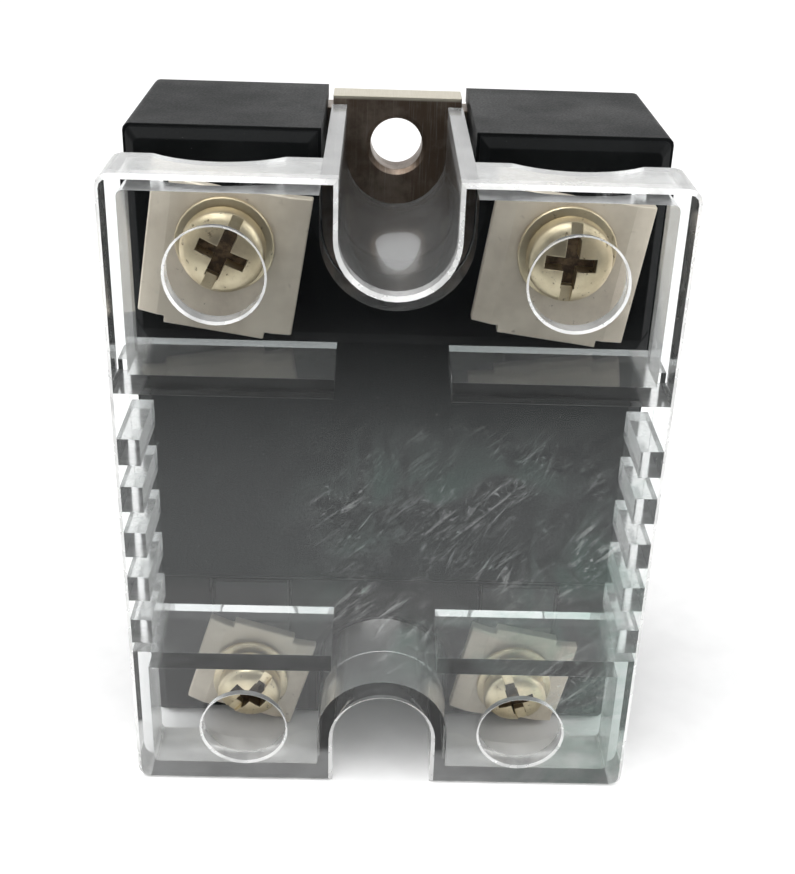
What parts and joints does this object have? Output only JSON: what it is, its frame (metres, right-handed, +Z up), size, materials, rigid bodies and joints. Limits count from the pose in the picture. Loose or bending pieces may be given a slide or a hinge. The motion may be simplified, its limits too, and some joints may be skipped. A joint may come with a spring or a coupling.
{
  "type": "solid state relay",
  "caption": "Panel-mount solid state relay: black housing on a metal baseplate, clear push-on terminal cover with driver holes, and screw clamp terminals at both ends.",
  "frame": {"origin": "middle of the footprint that the relay stands on, at its lower end", "axes": "+Z up along the relay's length from the control terminals to the load terminals, +Y out of the baseplate, -Y out of the clear cover, +X to the right as seen from the cover"},
  "size_m": [0.0456, 0.0278, 0.0592],
  "materials": {
    "black_plastic": "moulded, slightly satin",
    "clear_plastic": "clear, polished, handled",
    "base_metal": "machined, slightly dull",
    "clamp_steel": "plated, stamped",
    "screw_steel": "plated, yellowish",
    "tinned_copper": "tin plated",
    "bare_copper": "bare copper",
    "alumina": "white ceramic",
    "silicon_die": "silicon",
    "board_laminate": "green circuit board",
    "potting_resin": "cast resin",
    "chip_moulding": "moulded",
    "chip_ceramic": "ceramic",
    "diode_glass": "glass bead"
  },
  "bodies": {
    "relay_body": {"housing": "black_plastic", "baseplate": "base_metal", "load_left_strap": "tinned_copper", "load_right_strap": "tinned_copper", "control_left_strap": "tinned_copper", "control_right_strap": "tinned_copper", "load_left_nut": "screw_steel", "load_right_nut": "screw_steel", "control_left_nut": "screw_steel", "control_right_nut": "screw_steel", "ceramic_substrate": "alumina", "drain_pad": "bare_copper", "source_pad": "bare_copper", "gate_pad": "bare_copper", "power_die_1": "silicon_die", "power_die_2": "silicon_die", "source_clip": "tinned_copper", "gate_pin": "tinned_copper", "source_pin": "tinned_copper", "control_board": "board_laminate", "potting_slab": "potting_resin", "optocoupler": "chip_moulding", "reverse_diode": "chip_moulding", "driver_transistor": "chip_moulding", "input_resistor": "chip_ceramic", "bleed_resistor": "chip_ceramic", "gate_resistor": "chip_ceramic", "gate_capacitor": "chip_ceramic", "zener_diode": "diode_glass"},
    "cover": {"clear_cover": "clear_plastic"},
    "load_left_clamp": {"load_left_clamp_plate": "clamp_steel"},
    "load_left_fastener": {"load_left_screw": "screw_steel", "load_left_washer": "screw_steel"},
    "load_right_clamp": {"load_right_clamp_plate": "clamp_steel"},
    "load_right_fastener": {"load_right_screw": "screw_steel", "load_right_washer": "screw_steel"},
    "control_left_clamp": {"control_left_clamp_plate": "clamp_steel"},
    "control_left_fastener": {"control_left_screw": "screw_steel", "control_left_washer": "screw_steel"},
    "control_right_clamp": {"control_right_clamp_plate": "clamp_steel"},
    "control_right_fastener": {"control_right_screw": "screw_steel", "control_right_washer": "screw_steel"}
  },
  "joints": [
    {"name": "cover_pull", "type": "slide", "parent": "relay_body", "child": "cover", "axis": [0, -1, 0], "range_m": [0, 0.03]},
    {"name": "load_left_lift", "type": "slide", "parent": "relay_body", "child": "load_left_clamp", "axis": [0, -1, 0], "range_m": [0, 0.00175]},
    {"name": "load_left_turn", "type": "hinge", "parent": "load_left_clamp", "child": "load_left_fastener", "pos_m": [-0.01405, -0.0079, 0.0503], "axis": [0, -1, 0], "range_deg": [0, 905]},
    {"name": "load_right_lift", "type": "slide", "parent": "relay_body", "child": "load_right_clamp", "axis": [0, -1, 0], "range_m": [0, 0.00175]},
    {"name": "load_right_turn", "type": "hinge", "parent": "load_right_clamp", "child": "load_right_fastener", "pos_m": [0.01405, -0.0079, 0.0503], "axis": [0, -1, 0], "range_deg": [0, 905]},
    {"name": "control_left_lift", "type": "slide", "parent": "relay_body", "child": "control_left_clamp", "axis": [0, -1, 0], "range_m": [0, 0.0015]},
    {"name": "control_left_turn", "type": "hinge", "parent": "control_left_clamp", "child": "control_left_fastener", "pos_m": [-0.0128, -0.0079, 0.0061], "axis": [0, -1, 0], "range_deg": [0, 905]},
    {"name": "control_right_lift", "type": "slide", "parent": "relay_body", "child": "control_right_clamp", "axis": [0, -1, 0], "range_m": [0, 0.0015]},
    {"name": "control_right_turn", "type": "hinge", "parent": "control_right_clamp", "child": "control_right_fastener", "pos_m": [0.0128, -0.0079, 0.0061], "axis": [0, -1, 0], "range_deg": [0, 905]}
  ],
  "couplings": [
    {"joint": "load_left_turn", "follows": "load_left_lift", "rad_per_m": 8976},
    {"joint": "load_right_turn", "follows": "load_right_lift", "rad_per_m": 8976},
    {"joint": "control_left_turn", "follows": "control_left_lift", "rad_per_m": 10472},
    {"joint": "control_right_turn", "follows": "control_right_lift", "rad_per_m": 10472}
  ]
}
